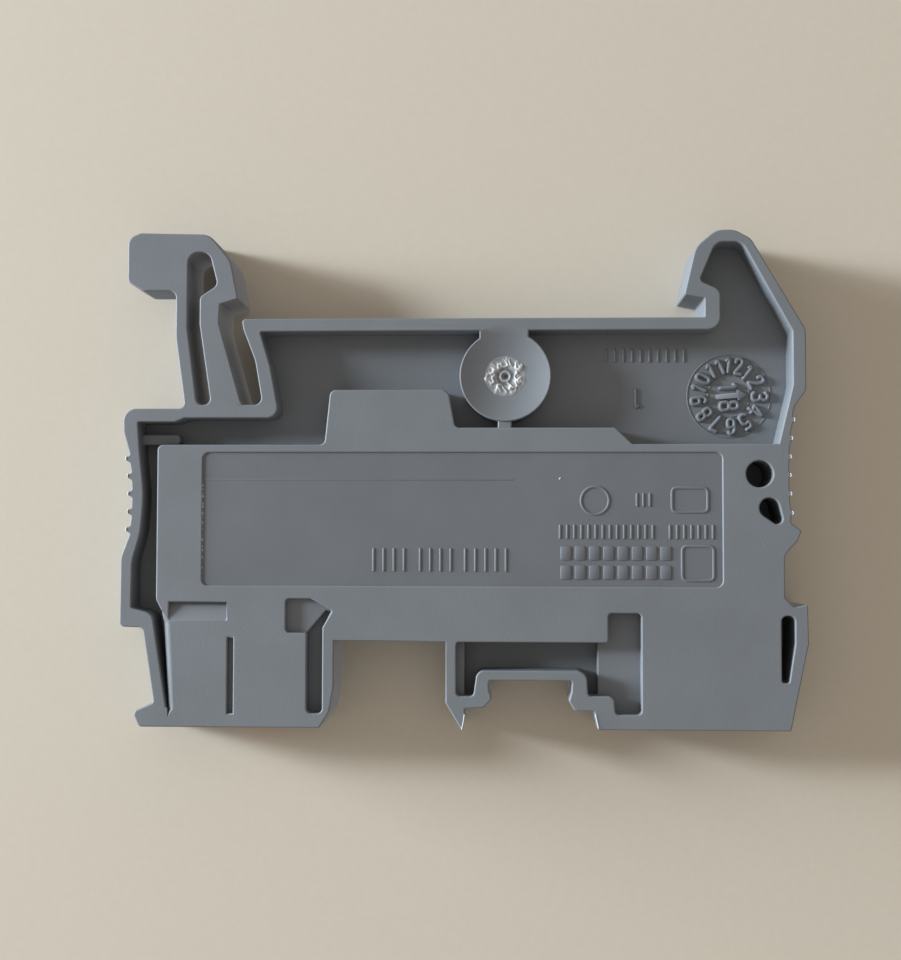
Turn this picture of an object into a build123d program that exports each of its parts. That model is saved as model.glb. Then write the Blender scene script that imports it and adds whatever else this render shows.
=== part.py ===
from build123d import *
import math
import os

# Plug-in feed-through terminal block for a 35 mm top-hat rail: one push-in wire entry,
# two bridge shafts, a marker groove and a plug zone, with a sprung rail foot.
# Frame: X along the block, 0 midway between the rail's edges; Y along the rail, 0 at
# mid-thickness, the closed side facing -Y; Z away from the rail, 0 at the rail seat.

# Driving dimensions, mm
pitch = 5.2             # thickness along the rail
half = pitch / 2
top_z = 29.0            # top of the block above the rail seat
bridge_z = 22.9         # mouth of the bridge shafts
skin = 0.8              # wall of the closed side
recess_depth = 2.45     # closed side to the web
web_back = 3.35         # closed side to the web's open face
marker_depth = 2.6      # closed side to the deepest floor under the marker groove
plate_depth = 0.12      # sunk field on the closed side
blind_depth = 4.4       # blind holes on the plug side

# Dish that the gate is torn off in
dish_r = 2.87
dish_step = 0.25        # straight wall at its edge
dish_sag = 0.45         # hollow of its floor
dish_ball = (dish_r**2 + dish_sag**2) / (2 * dish_sag)

# Rail foot, turning on a living hinge at the root of its legs
foot_x = 17.6
foot_z = 8.6
foot_root_r = 3.2
foot_gap = 0.04
foot_grip_depth = 3.7   # thickness of the head beyond the legs

# Push-in clamp
wire_x = 18.35
wire_y = 0.15
wire_r = 1.95
wire_tip_r = 1.15       # guide hole for the bare conductor
wire_stop_z = 21.5      # where the insulation stops
clamp_x = 12.9          # centre of the spring's bow
clamp_z = 17.5
bow_r = 1.4             # to the middle of the strip
leg_slope = 40.7        # clamping leg below the horizontal, degrees
leg_length = 7.55
spring_t = 0.4
spring_w = 3.0
metal_y = 0.4           # middle of the metal parts
chamber_z = 20.0        # roof of the clamping chamber

# Release button
toe_r = 0.35
button_y = 0.3
button_w = 4.0

# Current bar
bar_t = 0.7
bar_w = 3.4
bar_z = 9.95            # underside on the clamp and bridge side
plug_bar_z = 13.45      # underside on the plug side
wall_x = 19.75          # face of the wire's contact wall

# Shafts from the top, as (middle, width) along X
bridge_shafts = [(2.9, 2.8), (6.45, 2.8)]
plug_shafts = [(-15.4, 3.0), (-19.2, 3.0)]

# Hole that takes the neighbouring block's locating peg
peg_x = -21.26
peg_z = 11.07
peg_r = 0.94

os.makedirs("parts", exist_ok=True)


def side(depth):
    """Plane this far below the closed side; sketch x is X and sketch y is Z."""
    return Plane.XZ.offset(half - depth)


def outline(corners):
    """Closed face through (x, z, rounding) corners."""
    with BuildSketch() as face:
        with BuildLine():
            FilletPolyline(
                *[(x, z) for x, z, _ in corners],
                radius=[r for _, _, r in corners],
                close=True,
            )
        make_face()
    return face.sketch


def window(x_low, x_high, z_low, z_high):
    """Plain rectangle between these limits."""
    with BuildSketch() as face:
        with Locations(((x_low + x_high) / 2, (z_low + z_high) / 2)):
            Rectangle(x_high - x_low, z_high - z_low)
    return face.sketch


def teeth(tips, height, half_base):
    """Grip teeth down a wall, as outline corners: foot, (x, z) tip and foot for each."""
    corners = []
    for x, z in tips:
        corners.append((x - height, z - half_base, 0.15))
        corners.append((x, z, 0.1))
        corners.append((x - height, z + half_base, 0.15))
    return corners


# Outside of the moulding without the foot, from the seat round by the wire side
seat = [
    (15.4, 0, 0.25),
    (15.25, 0.8, 0.8),
    (14.4, 3.0, 2.5),
    (13.85, 6.15, 0.5),
    (19.3, 6.15, 0),
    (19.7, 6.42, 0),
]
wire_side = (
    [(23.88, 6.42, 0.9), (23.82, 8.1, 1.0)]
    + teeth([(23.68, 10.0), (23.55, 11.25), (23.5, 12.5), (23.52, 13.78), (23.62, 15.05)], 0.32, 0.3)
    + [(23.92, 17.0, 1.5), (23.95, 21.95, 0.35)]
    + [(22.3, 22.0, 0.35), (21.45, 27.3, 0.3), (22.95, 27.95, 0.35), (22.5, top_z, 0.35)]
)
clamp_top = [
    (9.65, top_z, 0.15),
    (8.95, 27.9, 0.3),
    (8.64, 26.2, 0.6),
    (8.64, bridge_z, 0),
]
marker_arm = [
    (0.75, bridge_z, 0),
    (0.75, 27.2, 0.25),
    (-0.46, 29.2, 0.1),
    (-0.66, 28.0, 0.1),
    (-0.58, 27.58, 0.1),
    (-1.95, 27.5, 0.3),
    (-2.5, 26.9, 0.2),
    (-2.3, 26.2, 0.1),
    (-2.3, 25.6, 0.15),
    (-8.12, 25.6, 0.15),
    (-8.08, 26.4, 0.1),
    (-7.9, 27.0, 0.2),
    (-8.3, 27.7, 0.35),
    (-9.64, 27.7, 0.1),
    (-9.93, top_z, 0.1),
]
plug_side = (
    [(-23.33, top_z, 0.15), (-24.6, 22.9, 0.5), (-24.55, 20.2, 0.1), (-23.6, 20.4, 0.3)]
    + [(-22.97, 19.75, 0.3), (-22.97, 16.75, 0.9), (-23.9, 15.75, 0.5), (-24.15, 15.05, 0.15)]
    + [(-23.42, 14.5, 0.2)]
    + teeth([(-23.72, 13.8), (-23.62, 12.45), (-23.6, 11.15), (-23.62, 9.85)], -0.28, -0.26)
    + teeth([(-23.72, 8.55), (-23.88, 7.25)], -0.28, -0.26)
    + [(-23.75, 6.3, 0.3), (-24.56, 5.2, 0.9), (-24.56, 0.9, 0.7)]
)
hook = [
    (-20.75, -5.6, 1.1),
    (-19.6, -6.22, 1.4),
    (-18.3, -6.22, 1.4),
    (-16.85, -5.0, 1.6),
    (-16.05, -1.6, 0.15),
    (-17.47, -1.35, 0.1),
    (-17.47, 0, 0.1),
]

# Inside edge of the rim and of the raised field over the metal parts
foot_side_inside = [
    (14.05, 0.93, 0.1),
    (13.3, 3.4, 2.5),
    (12.6, 7.1, 0.75),
    (19.4, 7.1, 0.2),
    (20.1, 7.38, 0.2),
    (22.78, 7.38, 0.1),
    (22.62, 9.5, 12.0),
    (22.29, 12.6, 9.0),
    (22.5, 15.3, 6.0),
    (23.08, 17.3, 3.0),
    (23.12, 20.6, 0.15),
    (21.6, 21.0, 0.7),
]
field_edge = [
    (20.4, 28.5, 0.04),
    (20.92, 20.85, 0.6),
    (21.35, 20.0, 0.6),
    (21.35, 9.0, 0.4),
    (9.4, 9.0, 0.4),
    (9.0, 5.1, 0.45),
    (0.6, 5.1, 0.6),
    (0.1, 7.8, 0.4),
    (-11.2, 7.8, 0.3),
    (-12.4, 8.96, 0.3),
    (-22.6, 8.96, 0.1),
]
hook_inside = [
    (-23.6, 4.8, 0.8),
    (-23.6, 1.0, 0.5),
    (-20.1, -5.35, 0.85),
    (-18.3, -5.35, 0.85),
    (-17.15, -2.6, 0.3),
    (-18.6, -1.95, 0.7),
    (-18.6, 0.88, 0.9),
]

# Head and both legs of the foot, and the slot between the legs
foot_outside = [
    (20.4, 6.9, 0),
    (20.4, 6.42, 0),
    (19.42, 6.42, 0.45),
    (20.14, 1.3, 3.0),
    (20.14, -2.03, 0.5),
    (22.5, -2.03, 0.6),
    (23.64, -2.7, 0.5),
    (23.64, -5.85, 0.75),
    (22.8, -6.22, 0.3),
    (17.75, -6.1, 1.3),
    (16.2, -4.2, 2.0),
    (15.66, -1.44, 0.1),
    (16.95, -1.05, 0.1),
    (17.02, 0.3, 0.8),
    (15.35, 6.15, 0.4),
    (14.6, 6.15, 0),
    (14.6, 6.9, 0),
]
foot_slot = [
    (18.55, 6.15, 0.45),
    (19.28, 0.7, 2.0),
    (19.28, -4.8, 0.78),
    (17.75, -4.8, 0.74),
    (17.15, -2.45, 0.5),
    (18.42, -1.6, 0.5),
    (18.42, 0.4, 1.2),
    (17.55, 6.15, 0.45),
]

# Rooms for the metal parts, open to +Y
bar_room = [
    (11.0, 9.8, 0),
    (8.6, 9.8, 0.2),
    (8.3, 5.9, 0.4),
    (1.2, 5.9, 0.4),
    (0.7, 8.6, 0.3),
    (-10.9, 8.6, 0.3),
    (-12.1, 9.76, 0.3),
    (-19.8, 9.76, 0.3),
    (-19.8, 12.8, 0.2),
    (-20.7, 12.8, 0.2),
    (-20.7, 16.2, 0.2),
    (-10.6, 16.2, 0.4),
    (-8.0, 12.0, 0.4),
    (11.0, 12.0, 0),
]
core_pocket = [
    (0.2, 12.8, 0.3),
    (-7.6, 12.8, 0.3),
    (-10.2, 17.0, 0.3),
    (-12.6, 17.0, 0.3),
    (-12.6, 20.0, 0.3),
    (-9.8, 20.0, 0.3),
    (-9.8, 22.1, 0.3),
    (0.2, 22.1, 0.3),
]

# Pockets in the closed side
catch_head = [
    (12.07, 19.93, 0.25),
    (10.3, 19.93, 0.3),
    (8.78, 20.75, 0.15),
    (9.5, 22.0, 0.2),
    (9.47, 22.35, 0),
    (12.07, 22.3, 0.3),
]
catch_stem = [
    (10.57, 22.3, 0),
    (9.3, 20.8, 0),
    (8.95, 20.85, 0),
    (9.47, 21.9, 0.1),
    (9.47, 27.97, 0.35),
    (10.57, 27.97, 0.35),
]
marker_pocket = [
    (0, 22.93, 0.2),
    (0, 26.7, 0.3),
    (-1.2, 26.7, 0.3),
    (-1.45, 24.9, 0.6),
    (-9.15, 24.9, 0.7),
    (-9.25, 26.65, 0.25),
    (-11.05, 26.65, 0.4),
    (-11.15, 27.93, 0.3),
    (-12.97, 27.93, 0.3),
    (-12.97, 20.87, 0.3),
    (-10.67, 20.87, 0.25),
    (-10.67, 22.93, 0.2),
]
latch_slot = [
    (-22.71, 21.0, 0.4),
    (-22.71, 25.65, 0.2),
    (-23.2, 25.65, 0.15),
    (-23.64, 22.9, 1.0),
    (-23.64, 21.0, 0.4),
]

# Corner of the wire entry's cover, along the gap to the outer wall; its z runs down the gap
cover_edge = Plane(origin=(20.92, -half, 20.85), x_dir=(7.65, 0, 0.52), z_dir=(-0.52, 0, 7.65))

recess = outline(foot_side_inside + field_edge + hook_inside)
legs = outline(foot_outside) - outline(foot_slot)

# ---------------------------------------------------------------- housing
with BuildPart() as housing:
    # Moulding at full thickness
    with BuildSketch(side(0)):
        add(outline(seat + wire_side + clamp_top + marker_arm + plug_side + hook))
    extrude(amount=-pitch)

    # Stumps of the foot's legs, up to the living hinge
    with BuildSketch(side(0)):
        add(legs)
        with Locations((foot_x, foot_z)):
            Circle(foot_root_r, mode=Mode.INTERSECT)
    extrude(amount=-pitch)

    # Web: recessed from both sides
    with BuildSketch(side(0)):
        add(recess)
    extrude(amount=-recess_depth, mode=Mode.SUBTRACT)
    with BuildSketch(side(web_back)):
        add(recess)
    extrude(amount=web_back - pitch, mode=Mode.SUBTRACT)

    # Injection boss joined to the seat's rim, with a sunk dish, and the ribs on the web
    with BuildSketch(side(0)):
        with Locations((-3.44, 4.1)):
            Circle(3.25)
        add(window(-5.1, -1.6, 0.6, 2.2))
    extrude(amount=-web_back)
    with BuildSketch(side(0)):
        with Locations((-3.44, 4.1)):
            Circle(dish_r)
    extrude(amount=-dish_step, mode=Mode.SUBTRACT)
    with Locations((-3.44, -half + dish_step + dish_sag - dish_ball, 4.1)):
        Sphere(dish_ball, mode=Mode.SUBTRACT)
    with BuildSketch(side(0.3)):
        add(window(-3.9, -2.9, 7.0, 8.0))
    extrude(amount=0.3 - web_back)
    with BuildSketch(side(1.2)):
        add(outline([(20.0, 8.2, 0.3), (23.0, 8.2, 0), (23.0, 8.95, 0), (20.0, 8.95, 0.3)]))
    extrude(amount=1.2 - web_back)

    # Rooms for the metal parts, shafts and core pocket, open to +Y
    with BuildSketch(side(skin)):
        add(outline(bar_room))
        add(outline(core_pocket))
        add(window(10.6, 20.55, 9.8, 19.1))
        add(window(12.4, 20.55, 19.0, chamber_z))
        add(window(12.4, 15.5, chamber_z - 0.1, 26.6))
        add(window(12.9, 15.5, 26.5, top_z + 1))
        for middle, room in bridge_shafts:
            add(window(middle - room / 2, middle + room / 2, 11.9, bridge_z + 1))
        for middle, room in plug_shafts:
            add(window(middle - room / 2, middle + room / 2, 16.0, top_z + 1))
    extrude(amount=skin - pitch, mode=Mode.SUBTRACT)

    # Rests that the current bar lies on
    with BuildSketch(side(skin)):
        for x in (-10.0, -4.0):
            add(window(x, x + 0.8, 8.4, bar_z - 0.02))
        add(window(-14.0, -13.2, 9.6, plug_bar_z - 0.02))
    extrude(amount=skin - pitch)

    # Wire entry: funnel mouth, insulation stop and guide for the conductor
    with Locations((wire_x, wire_y, wire_stop_z)):
        Cylinder(
            wire_r,
            top_z - wire_stop_z,
            align=(Align.CENTER, Align.CENTER, Align.MIN),
            mode=Mode.SUBTRACT,
        )
    with Locations((wire_x, wire_y, top_z - 0.4)):
        Cone(
            wire_r,
            wire_r + 0.25,
            0.4,
            align=(Align.CENTER, Align.CENTER, Align.MIN),
            mode=Mode.SUBTRACT,
        )
    with Locations((wire_x, wire_y, chamber_z - 0.01)):
        Cone(
            wire_tip_r,
            wire_r,
            wire_stop_z - chamber_z + 0.02,
            align=(Align.CENTER, Align.CENTER, Align.MIN),
            mode=Mode.SUBTRACT,
        )

    # Closed side: sunk field, wedge and groove beside the wire entry
    with BuildSketch(side(0)):
        add(outline([(18.07, 9.57, 0.45), (18.07, 19, 0.45), (-18.65, 19, 0.45), (-18.65, 9.57, 0.45)]))
    extrude(amount=-plate_depth, mode=Mode.SUBTRACT)
    with BuildSketch(Plane.YZ.offset(16.3)):
        with BuildLine():
            Polyline(
                (-half - 0.2, 20.2),
                (-half + 0.5, 20.2),
                (-half, 21.5),
                (-half - 0.2, 22.02),
                close=True,
            )
        make_face()
    extrude(amount=4.1, mode=Mode.SUBTRACT)
    with BuildSketch(side(0)):
        add(window(15.8, 16.2, 22.7, 28.0))
    extrude(amount=-0.5, mode=Mode.SUBTRACT)

    # Round edge of the wire entry's cover along the gap
    for along, edge_r in ((-0.1, 0.06), (0.8, 0.6), (6.9, 0.5), (7.4, 0.06)):
        with BuildSketch(cover_edge.offset(along)):
            with Locations(((0.01 - edge_r) / 2, (edge_r - 0.1) / 2)):
                Rectangle(edge_r + 0.01, edge_r + 0.1)
            with Locations((-edge_r, edge_r)):
                Circle(edge_r, mode=Mode.SUBTRACT)
    loft(ruled=True, mode=Mode.SUBTRACT)

    # Catch pocket: shallow head, deep stem
    with BuildSketch(side(0)):
        add(outline(catch_head))
    extrude(amount=-0.5, mode=Mode.SUBTRACT)
    with BuildSketch(side(0)):
        add(outline(catch_stem))
    extrude(amount=-1.3, mode=Mode.SUBTRACT)

    # Pocket under the marker groove, in three levels
    with BuildSketch(side(0)):
        add(outline(marker_pocket))
    extrude(amount=-0.9, mode=Mode.SUBTRACT)
    for x_low, x_high, depth in ((-13.5, -9.95, 1.2), (-9.96, -0.57, marker_depth)):
        with BuildSketch(side(0)):
            add(outline(marker_pocket))
            add(window(x_low, x_high, 20, 29), mode=Mode.INTERSECT)
        extrude(amount=-depth, mode=Mode.SUBTRACT)

    # Blind holes on the plug side
    with BuildSketch(side(0)):
        with Locations((-21.93, 13.45)):
            Circle(0.7)
        with Locations((-22.45, 14.2)):
            Circle(0.38)
        make_hull()
    extrude(amount=-blind_depth, mode=Mode.SUBTRACT)
    with BuildSketch(side(0)):
        add(outline(latch_slot))
        with Locations((peg_x, peg_z)):
            Circle(peg_r)
    extrude(amount=-blind_depth, mode=Mode.SUBTRACT)
housing.part.label = "housing"
export_step(housing.part, "parts/housing.step")

# ---------------------------------------------------------------- rail foot
with BuildPart() as rail_foot:
    with BuildSketch(side(0)):
        add(legs)
        with Locations((foot_x, foot_z)):
            Circle(foot_root_r + foot_gap, mode=Mode.SUBTRACT)
        add(window(14, 21, 6.15 - foot_gap, 7.5), mode=Mode.SUBTRACT)
    extrude(amount=-pitch)
    # The head's grip is set back from the open side
    with BuildSketch(side(foot_grip_depth)):
        add(window(20.3, 24, -7, -1))
    extrude(amount=foot_grip_depth - pitch, mode=Mode.SUBTRACT)
rail_foot.part.label = "rail_foot"
export_step(rail_foot.part, "parts/rail_foot.step")

# ---------------------------------------------------------------- release button
# The toe rides on the clamping leg; the shoulder stops under the shaft's ledge.
toe_x = 15.85
toe_z = 17.65
with BuildPart() as release_button:
    with BuildSketch(Plane.XZ.offset(button_w / 2 - button_y)):
        add(
            outline(
                [
                    (13.0, 28.3, 0.3),
                    (15.4, 28.3, 0.3),
                    (15.4, 19.75, 0),
                    (toe_x + toe_r, 19.75, 0.2),
                    (toe_x + toe_r, toe_z, 0),
                    (toe_x - toe_r, toe_z, 0),
                    (14.4, 20.75, 0.5),
                    (12.5, 20.75, 0.2),
                    (12.5, 26.4, 0.1),
                    (13.0, 26.4, 0),
                ]
            )
        )
        with Locations((toe_x, toe_z)):
            Circle(toe_r)
    extrude(amount=-button_w)
    # Screwdriver slot in the head
    with Locations((14.2, button_y, 28.3)):
        Box(1.6, 0.6, 0.8, mode=Mode.SUBTRACT)
release_button.part.label = "release_button"
export_step(release_button.part, "parts/release_button.step")

# ---------------------------------------------------------------- current bar
# Bent strip: contact wall, floor under the clamp and bridge shafts, step up to the plug zone
with BuildPart() as current_bar:
    with BuildSketch(Plane.XZ.offset(bar_w / 2 - metal_y)):
        with BuildLine():
            FilletPolyline(
                (wall_x + bar_t, 19.2),
                (wall_x + bar_t, bar_z),
                (-9.0, bar_z),
                (-12.0, plug_bar_z),
                (-20.5, plug_bar_z),
                radius=[1.0, 1.4, 1.4],
            )
            offset(amount=bar_t, side=Side.RIGHT)
        make_face()
    extrude(amount=-bar_w)
    # Windows for the bridge and plug contacts
    with BuildSketch(Plane.XY.offset(bar_z - 1)):
        for middle, _ in bridge_shafts:
            with Locations((middle, metal_y)):
                Rectangle(1.9, 1.8)
    extrude(amount=3, mode=Mode.SUBTRACT)
    with BuildSketch(Plane.XY.offset(plug_bar_z - 1)):
        for middle, _ in plug_shafts:
            with Locations((middle, metal_y)):
                Rectangle(1.9, 1.8)
    extrude(amount=3, mode=Mode.SUBTRACT)
    # Tongue lanced up out of the floor, which backs the spring's fixed leg
    with Locations((9.35, metal_y, bar_z + bar_t / 2)):
        Box(2.5, 1.8, 2 * bar_t, mode=Mode.SUBTRACT)
    with BuildSketch(Plane.XZ.offset(0.9 - metal_y)):
        add(outline([(10.7, bar_z, 0), (11.2, bar_z, 0), (11.2, 13.0, 0.1), (10.7, 13.0, 0.1)]))
    extrude(amount=-1.8)
current_bar.part.label = "current_bar"
export_step(current_bar.part, "parts/current_bar.step")

# ---------------------------------------------------------------- clamping spring
# Fixed leg along the tongue and the bow over the top, as one strip
slope = math.radians(leg_slope)
bow_end = 90 - leg_slope
with BuildPart() as spring_bow:
    with BuildSketch(Plane.XZ.offset(spring_w / 2 - metal_y)):
        with BuildLine():
            outer = bow_r + spring_t / 2
            CenterArc((clamp_x, clamp_z), outer, bow_end, 180 - bow_end)
            FilletPolyline(
                (clamp_x - outer, clamp_z),
                (clamp_x - outer, bar_z + bar_t + 0.02),
                (13.8, bar_z + bar_t + 0.02),
                radius=[0.7],
            )
            offset(amount=spring_t, side=Side.LEFT)
        make_face()
    extrude(amount=-spring_w)
spring_bow.part.label = "spring_bow"
export_step(spring_bow.part, "parts/spring_bow.step")

# Clamping leg, from the end of the bow to the edge that bites the wire
with BuildPart() as clamping_leg:
    leg_plane = Plane(
        origin=(clamp_x, metal_y, clamp_z),
        x_dir=(math.cos(slope), 0, -math.sin(slope)),
        z_dir=(0, -1, 0),
    )
    with BuildSketch(leg_plane.offset(-spring_w / 2)):
        with Locations((0.02 + leg_length / 2, bow_r)):
            Rectangle(leg_length, spring_t)
    extrude(amount=spring_w)
    bite = clamping_leg.edges().filter_by(Axis.Y).sort_by(Axis.Z)[0]
    chamfer(bite, length=0.2)
clamping_leg.part.label = "clamping_leg"
export_step(clamping_leg.part, "parts/clamping_leg.step")
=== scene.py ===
import math

import bmesh
import bpy
import numpy as np
from mathutils import Matrix


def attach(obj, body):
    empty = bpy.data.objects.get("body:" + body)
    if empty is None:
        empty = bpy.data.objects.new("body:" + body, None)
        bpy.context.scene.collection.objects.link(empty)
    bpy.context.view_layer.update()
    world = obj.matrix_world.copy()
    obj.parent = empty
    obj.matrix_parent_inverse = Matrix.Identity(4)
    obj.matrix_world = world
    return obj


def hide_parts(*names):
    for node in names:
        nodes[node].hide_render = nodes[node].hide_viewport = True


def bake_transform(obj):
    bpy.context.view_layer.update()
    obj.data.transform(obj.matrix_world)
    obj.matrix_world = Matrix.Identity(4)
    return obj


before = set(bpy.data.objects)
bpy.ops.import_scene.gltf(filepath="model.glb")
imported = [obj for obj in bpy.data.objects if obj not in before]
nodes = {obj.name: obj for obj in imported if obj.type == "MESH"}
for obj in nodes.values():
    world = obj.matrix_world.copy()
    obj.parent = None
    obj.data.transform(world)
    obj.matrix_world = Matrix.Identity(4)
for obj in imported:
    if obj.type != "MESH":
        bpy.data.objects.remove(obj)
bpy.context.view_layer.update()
mm = 0.001
closedFace = -2.6    # y of the closed side, mm
plateFloor = -2.48   # y of the sunk field
webFloor = -0.15     # y of the web, closed side
openFace = 2.6       # y of the open side, which lies on the table
print("frame loaded:", len(nodes), "nodes")


def linear(hexColour):
    # sRGB hex to linear: below 0.04045 divide by 12.92, above it ((c + 0.055) / 1.055) ** 2.4
    channels = [int(hexColour[i:i + 2], 16) / 255 for i in (1, 3, 5)]
    return tuple(c / 12.92 if c <= 0.04045 else ((c + 0.055) / 1.055) ** 2.4 for c in channels) + (1.0,)


def addNode(tree, kind, settings=None, inputs=None, stops=()):
    # a node with its settings; an input is a value, or another node's output socket to link; stops are the
    # (position, linear colour) pairs of a colour ramp
    node = tree.nodes.new(kind)
    for key, value in (settings or {}).items():
        setattr(node, key, value)
    for key, value in (inputs or {}).items():
        if isinstance(value, bpy.types.NodeSocket):
            tree.links.new(value, node.inputs[key])
        else:
            node.inputs[key].default_value = value
    while stops and len(node.color_ramp.elements) < len(stops):
        node.color_ramp.elements.new(0.5)
    for place, (position, colour) in enumerate(stops):
        node.color_ramp.elements[place].position = position
        node.color_ramp.elements[place].color = colour
    return node


def startMaterial(name, fixed):
    # a material with its Principled shader, whose fixed numbers sit on its own sockets
    material = bpy.data.materials.new(name)
    material.use_nodes = True
    shader = material.node_tree.nodes["Principled BSDF"]
    for key, value in fixed.items():
        shader.inputs[key].default_value = value
    return material, material.node_tree, shader


def shade(hexColour, factor):
    # a linear colour made lighter or darker
    return tuple(c * factor for c in linear(hexColour)[:3]) + (1.0,)


# Polyamide 6.6, injection moulded against a fine spark-eroded steel: a matt, dead-even grey whose
# grain only breaks up the highlights; the 0.08 mm grain is drawn at 0.16 mm so that it shows
greyLook = {"colour": "#71777e", "mottle": 0.05, "mottleSize": 4.0, "grainSize": 0.16,
            "grainHeight": 0.007, "roughness": (0.5, 0.64), "ior": 1.53}


def mouldedPolyamide(name, look):
    # wide mottle in the colour; fine grain in the roughness and the relief
    material, tree, shader = startMaterial(name, {"IOR": look["ior"], "Specular IOR Level": 0.42})
    place = addNode(tree, "ShaderNodeTexCoord").outputs["Object"]
    mottle = addNode(tree, "ShaderNodeTexNoise", inputs={
        "Vector": place, "Scale": 1 / (look["mottleSize"] * mm), "Detail": 3.0, "Roughness": 0.55})
    grain = addNode(tree, "ShaderNodeTexNoise", inputs={
        "Vector": place, "Scale": 1 / (look["grainSize"] * mm), "Detail": 2.0, "Roughness": 0.6})
    colour = addNode(tree, "ShaderNodeValToRGB", inputs={"Fac": mottle.outputs["Fac"]}, stops=[
        (0.3, shade(look["colour"], 1 - look["mottle"])), (0.7, shade(look["colour"], 1 + look["mottle"]))])
    rough = addNode(tree, "ShaderNodeMapRange", inputs={
        "Value": grain.outputs["Fac"], "From Min": 0.3, "From Max": 0.7,
        "To Min": look["roughness"][0], "To Max": look["roughness"][1]})
    bump = addNode(tree, "ShaderNodeBump", inputs={
        "Height": grain.outputs["Fac"], "Strength": 1.0, "Distance": look["grainHeight"] * mm})
    tree.links.new(colour.outputs["Color"], shader.inputs["Base Color"])
    tree.links.new(rough.outputs["Result"], shader.inputs["Roughness"])
    tree.links.new(bump.outputs["Normal"], shader.inputs["Normal"])
    return material


greyPolyamide = mouldedPolyamide("greyPolyamideMoulded", greyLook)

# The sunk field comes off a plain ground insert of the mould: finer grain, and the same grey painted darker
# as painted shade for its weaker sheen
fieldShadedLook = dict(greyLook, colour="#676c73", grainHeight=0.004)
fieldPolyamideShaded = mouldedPolyamide("greyPolyamidePaintedShade", fieldShadedLook)

# The same resin dyed orange, from a polished mould: smoother, with a soft sheen
orangeLook = {"colour": "#d2591c", "mottle": 0.04, "mottleSize": 3.0, "grainSize": 0.2,
              "grainHeight": 0.003, "roughness": (0.34, 0.46), "ior": 1.53}
orangePolyamide = mouldedPolyamide("orangePolyamideMoulded", orangeLook)

# Polyamide torn off at the gate: stress-whitened fibres over grey, by how far each point is torn up
# the pit colour is a near-black painted shade, for the hollow inside the torn crown and the pin mark
tearLook = {"whole": "#82888e", "white": "#d2d6db", "shadedPit": "#2c2f33", "grainSize": 0.09,
            "grainHeight": 0.02, "roughness": 0.5, "ior": 1.53}


def tornPolyamide(name, look):
    # colour by the mesh's whitening and painted shade, from the pit's painted near-black over whole to white;
    # fine fibres in the relief
    material, tree, shader = startMaterial(name, {"IOR": look["ior"], "Roughness": look["roughness"]})
    place = addNode(tree, "ShaderNodeTexCoord").outputs["Object"]
    torn = addNode(tree, "ShaderNodeAttribute", {"attribute_name": "whiteningAndShade"})
    fibres = addNode(tree, "ShaderNodeTexNoise", inputs={
        "Vector": place, "Scale": 1 / (look["grainSize"] * mm), "Detail": 4.0, "Roughness": 0.7})
    colour = addNode(tree, "ShaderNodeValToRGB", inputs={"Fac": torn.outputs["Fac"]}, stops=[
        (0.0, linear(look["shadedPit"])), (0.25, linear(look["whole"])), (1.0, linear(look["white"]))])
    bump = addNode(tree, "ShaderNodeBump", inputs={
        "Height": fibres.outputs["Fac"], "Strength": 1.0, "Distance": look["grainHeight"] * mm})
    tree.links.new(colour.outputs["Color"], shader.inputs["Base Color"])
    tree.links.new(bump.outputs["Normal"], shader.inputs["Normal"])
    return material


tornGate = tornPolyamide("polyamideStressWhitened", tearLook)

# Copper strip with a matt tin plating, punched and bent: a dull silver with fine lines along the strip.
# Cold-rolled stainless spring strip: brighter and smoother, with rolling lines along its length
tinLook = {"colour": "#cfcdc6", "darker": 0.88, "lighter": 1.03, "lineSize": 0.12, "stretch": 18.0,
           "roughness": (0.28, 0.46), "height": 0.003}
steelLook = {"colour": "#c4c5c4", "darker": 0.88, "lighter": 1.03, "lineSize": 0.08, "stretch": 30.0,
             "roughness": (0.16, 0.3), "height": 0.002}


def rolledMetal(name, look):
    # noise drawn out along the strip, in the colour, the roughness and the relief
    material, tree, shader = startMaterial(name, {"Metallic": 1.0})
    place = addNode(tree, "ShaderNodeTexCoord").outputs["Object"]
    drawn = addNode(tree, "ShaderNodeMapping", inputs={
        "Vector": place, "Scale": (1 / look["stretch"], 1.0, 1 / look["stretch"])})
    lines = addNode(tree, "ShaderNodeTexNoise", inputs={
        "Vector": drawn.outputs["Vector"], "Scale": 1 / (look["lineSize"] * mm), "Detail": 3.0})
    colour = addNode(tree, "ShaderNodeValToRGB", inputs={"Fac": lines.outputs["Fac"]}, stops=[
        (0.3, shade(look["colour"], look["darker"])), (0.7, shade(look["colour"], look["lighter"]))])
    rough = addNode(tree, "ShaderNodeMapRange", inputs={
        "Value": lines.outputs["Fac"], "From Min": 0.3, "From Max": 0.7,
        "To Min": look["roughness"][0], "To Max": look["roughness"][1]})
    bump = addNode(tree, "ShaderNodeBump", inputs={
        "Height": lines.outputs["Fac"], "Strength": 1.0, "Distance": look["height"] * mm})
    tree.links.new(colour.outputs["Color"], shader.inputs["Base Color"])
    tree.links.new(rough.outputs["Result"], shader.inputs["Roughness"])
    tree.links.new(bump.outputs["Normal"], shader.inputs["Normal"])
    return material


tinPlate = rolledMetal("copperStripTinPlated", tinLook)
springSteel = rolledMetal("springStripColdRolled", steelLook)
print("materials made")


def showPiece(name, verts, faces, material, smooth=True):
    # verts in millimetres, as one array; faces as one array or a list of arrays
    mesh = bpy.data.meshes.new(name)
    rows = faces if isinstance(faces, list) else [faces]
    mesh.from_pydata((np.asarray(verts) * mm).tolist(), [], [f for part in rows for f in part.tolist()])
    mesh.polygons.foreach_set("use_smooth", np.full(len(mesh.polygons), smooth))
    mesh.materials.append(material)
    mesh.update()
    piece = bpy.data.objects.new(name, mesh)
    bpy.context.scene.collection.objects.link(piece)
    return piece


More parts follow.
